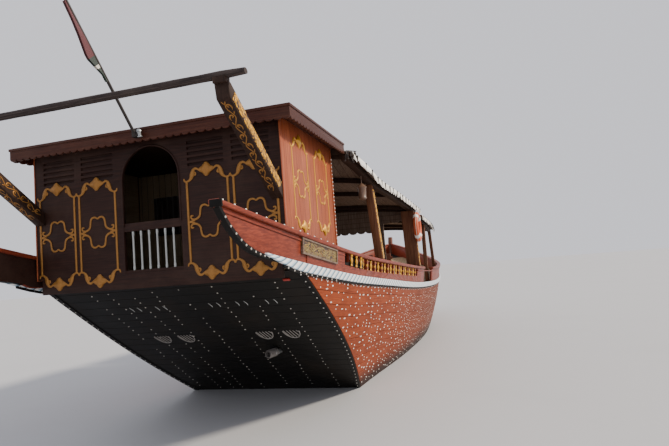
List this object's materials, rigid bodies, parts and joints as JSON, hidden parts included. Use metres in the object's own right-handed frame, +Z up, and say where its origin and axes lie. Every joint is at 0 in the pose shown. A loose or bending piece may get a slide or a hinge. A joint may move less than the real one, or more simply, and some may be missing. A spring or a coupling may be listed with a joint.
{
  "type": "wooden dhow passenger boat",
  "caption": "Traditional wooden dhow under power, with a raked square stern, a carved stern cabin with an arched window, davits, and long canopies over its deck.",
  "frame": {"origin": "on the centreline at the waterline, straight below the aft face of the stern cabin", "axes": "+X to starboard, +Y to the bow, +Z up"},
  "size_m": [5.451, 19.92, 6.6525],
  "materials": {
    "hull_planking": "oiled planking, satin",
    "tarred_board": "tarred, matte",
    "varnished_teak": "varnished, glossy",
    "dark_timber": "dark stained, satin",
    "maroon_paint": "brush painted, satin",
    "band_paint": "painted stripes, satin",
    "deck_plank": "bare, scrubbed",
    "canopy_cloth": "cotton canvas",
    "flag_cloth": "woven polyester",
    "bare_steel": "brushed",
    "rudder_paint": "antifouling paint",
    "propeller_bronze": "cast and polished",
    "engine_iron": "painted casting",
    "ring_foam": "moulded shell"
  },
  "bodies": {
    "boat": {"hull": "hull_planking", "transom": "tarred_board", "keel": "tarred_board", "stem_post": "varnished_teak", "cabin_roof": "varnished_teak", "roof_fascia": "varnished_teak", "helm_stand": "varnished_teak", "engine_hatch_coaming": "varnished_teak", "bow_bitts": "varnished_teak", "bulwark_aft_starboard": "varnished_teak", "bulwark_aft_port": "varnished_teak", "bulwark_fore_starboard": "varnished_teak", "bulwark_fore_port": "varnished_teak", "wing_starboard": "varnished_teak", "wing_port": "varnished_teak", "rail_aft_starboard": "varnished_teak", "rail_aft_port": "varnished_teak", "rail_fore_starboard": "varnished_teak", "rail_fore_port": "varnished_teak", "cabin_side_wall_starboard": "varnished_teak", "cabin_side_wall_port": "varnished_teak", "bench_starboard": "varnished_teak", "bench_port": "varnished_teak", "crossbeam": "dark_timber", "main_canopy_frame": "dark_timber", "fore_canopy_frame": "dark_timber", "deck_screen": "dark_timber", "davit_starboard": "dark_timber", "davit_port": "dark_timber", "canopy_post_1_starboard": "dark_timber", "canopy_post_1_port": "dark_timber", "canopy_post_2_starboard": "dark_timber", "canopy_post_2_port": "dark_timber", "fore_post_1_starboard": "dark_timber", "fore_post_1_port": "dark_timber", "fore_post_2_starboard": "dark_timber", "fore_post_2_port": "dark_timber", "cabin_aft_wall": "maroon_paint", "cabin_fore_wall": "maroon_paint", "arch_balustrade": "maroon_paint", "rub_band_starboard": "band_paint", "rub_band_port": "band_paint", "helm_deck": "deck_plank", "main_deck": "deck_plank", "fore_deck": "deck_plank", "bow_deck": "deck_plank", "peak_deck": "deck_plank", "poop_deck": "deck_plank", "main_canopy": "canopy_cloth", "fore_canopy": "canopy_cloth", "flag": "flag_cloth", "flagstaff": "bare_steel", "exhaust_pipe": "bare_steel", "engine": "engine_iron", "life_ring": "ring_foam"},
    "rudder": {"rudder": "rudder_paint"},
    "steering_wheel": {"steering_wheel": "varnished_teak"},
    "propeller": {"propeller": "propeller_bronze"},
    "cabin_door": {"cabin_door": "varnished_teak"},
    "engine_hatch_lid": {"engine_hatch_lid": "deck_plank"}
  },
  "joints": [
    {"name": "rudder_turn", "type": "hinge", "parent": "boat", "child": "rudder", "pos_m": [0, 4.42, -0.85], "axis": [0, 0, 1], "range_deg": [-35, 35]},
    {"name": "helm_turn", "type": "hinge", "parent": "boat", "child": "steering_wheel", "pos_m": [0, 3.345, 2.79], "axis": [0, 1, 0], "range_deg": [-350, 350]},
    {"name": "propeller_spin", "type": "hinge", "parent": "boat", "child": "propeller", "pos_m": [0, 4.98, -0.88], "axis": [0, 1, 0], "continuous": true},
    {"name": "cabin_door_swing", "type": "hinge", "parent": "boat", "child": "cabin_door", "pos_m": [-0.41, 2.2323, 3], "axis": [0, 0, 1], "range_deg": [0, 100]},
    {"name": "hatch_lid_lift", "type": "hinge", "parent": "boat", "child": "engine_hatch_lid", "pos_m": [-0.57, 6.4, 1.9], "axis": [0, -1, 0], "range_deg": [0, 95]}
  ],
  "couplings": [
    {"joint": "helm_turn", "follows": "rudder_turn", "ratio": 10}
  ]
}
